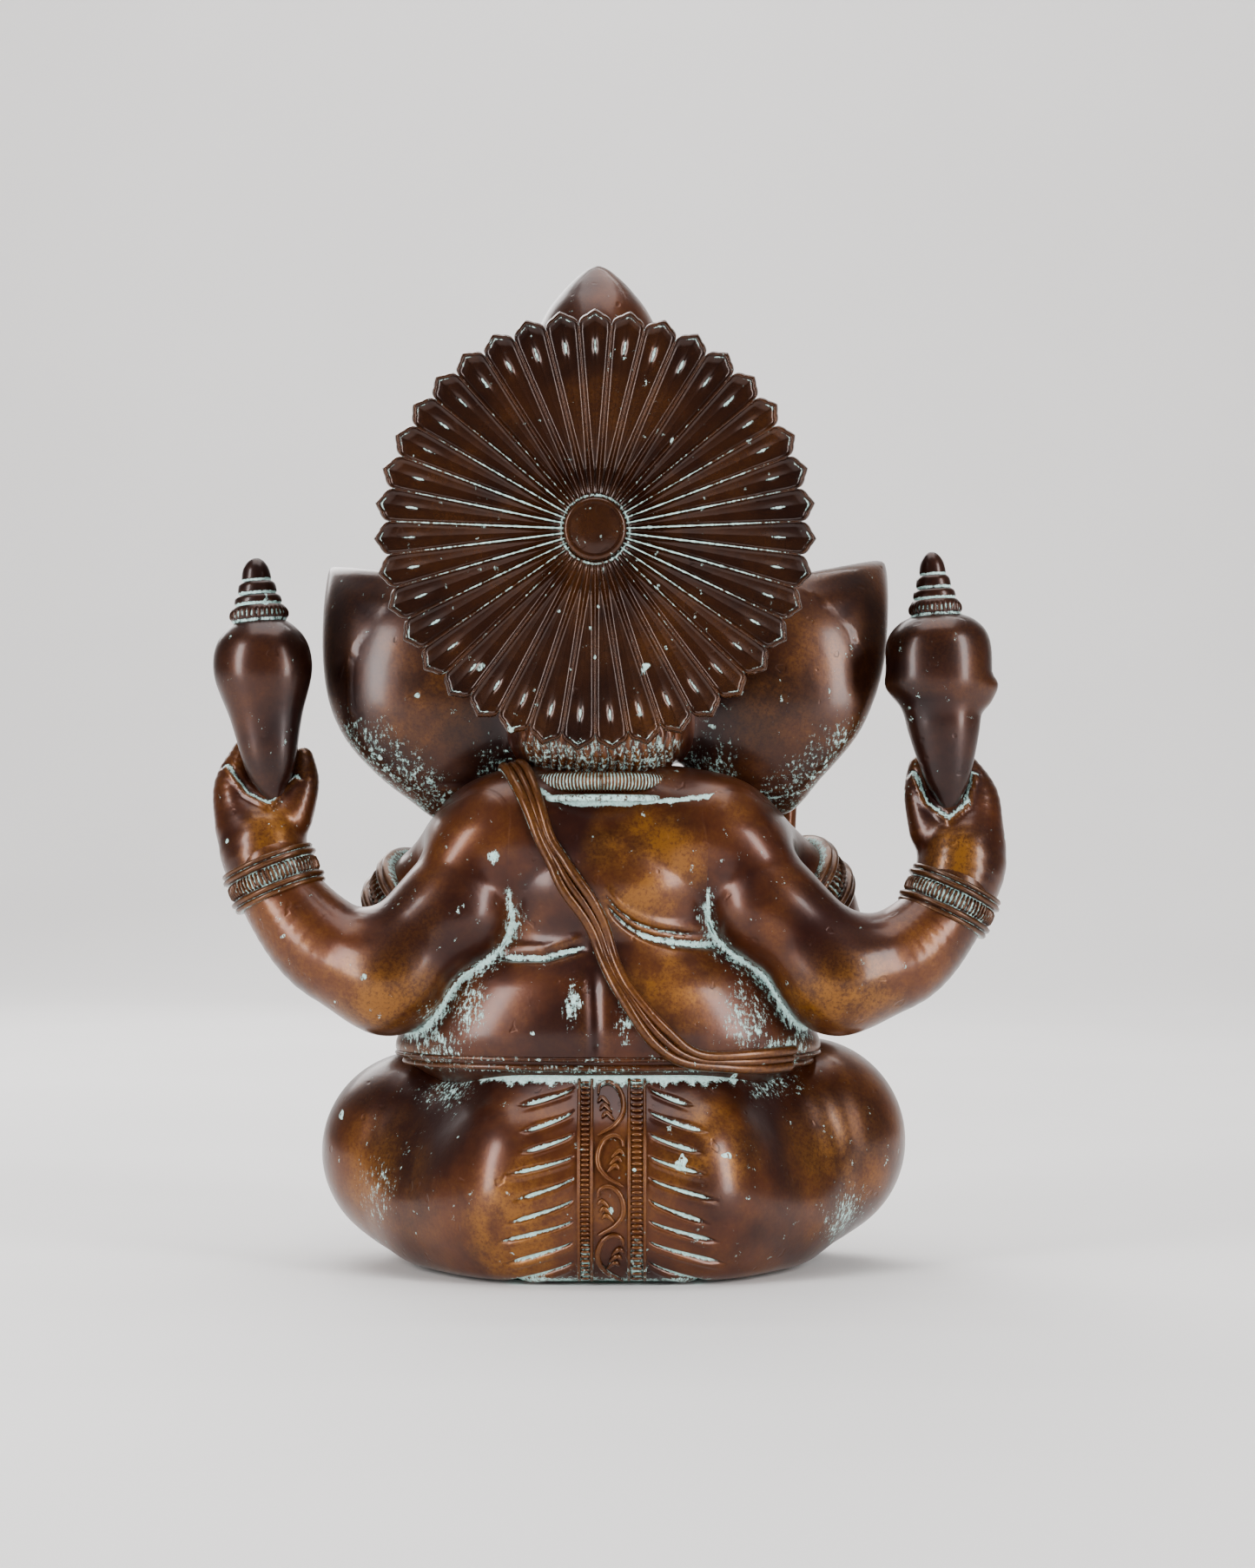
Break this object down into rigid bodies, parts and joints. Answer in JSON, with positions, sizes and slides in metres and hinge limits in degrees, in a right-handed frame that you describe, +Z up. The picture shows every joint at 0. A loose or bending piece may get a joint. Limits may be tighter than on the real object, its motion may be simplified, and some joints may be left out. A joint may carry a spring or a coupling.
{
  "type": "ganesha idol",
  "caption": "Seated elephant-headed devotional figure in dark cast bronze, its raised rear hands holding conches, with a petalled halo disc on its crown.",
  "frame": {"origin": "centre of the felt pad's underside, on the surface that the figure stands on", "axes": "+Z up; the figure faces -Y, so +Y is its back; +X is its own left side"},
  "size_m": [0.2199, 0.1354, 0.28],
  "materials": {
    "dark_bronze": "dark brown patina with an amber sheen, lacquered, verdigris in the grooves",
    "worn_bronze": "brown patina worn to ochre on the high edges, lacquered",
    "raw_brass": "dull unpolished brass",
    "felt": "dark green felt"
  },
  "bodies": {
    "root": {"seat_casting": "dark_bronze", "torso_casting": "dark_bronze", "head_casting": "dark_bronze", "trunk": "dark_bronze", "crown": "dark_bronze", "crown_finial": "dark_bronze", "halo_spacer": "dark_bronze", "ear_left": "dark_bronze", "ear_right": "dark_bronze", "rear_arm_left": "dark_bronze", "rear_arm_right": "dark_bronze", "rear_hand_left": "dark_bronze", "rear_hand_right": "dark_bronze", "conch_left": "dark_bronze", "conch_right": "dark_bronze", "front_arm_left": "dark_bronze", "front_arm_right": "dark_bronze", "front_hand_left": "dark_bronze", "front_hand_right": "dark_bronze", "tusk_whole": "worn_bronze", "tusk_broken": "worn_bronze", "halo_disc": "worn_bronze", "halo_screw": "worn_bronze", "rear_bangle_left": "worn_bronze", "rear_bangle_right": "worn_bronze", "front_bangle_left": "worn_bronze", "front_bangle_right": "worn_bronze", "armlet_left": "worn_bronze", "armlet_right": "worn_bronze", "anklet_left": "worn_bronze", "anklet_right": "worn_bronze", "sweet_bowl": "worn_bronze", "sweets": "worn_bronze", "collar": "worn_bronze", "sacred_thread_back": "worn_bronze", "sacred_thread_front": "worn_bronze", "waist_band": "worn_bronze", "halo_nut": "raw_brass", "base_plate": "raw_brass", "base_screw_1": "raw_brass", "base_screw_2": "raw_brass", "base_screw_3": "raw_brass", "base_screw_4": "raw_brass", "felt_pad": "felt"}
  },
  "joints": []
}
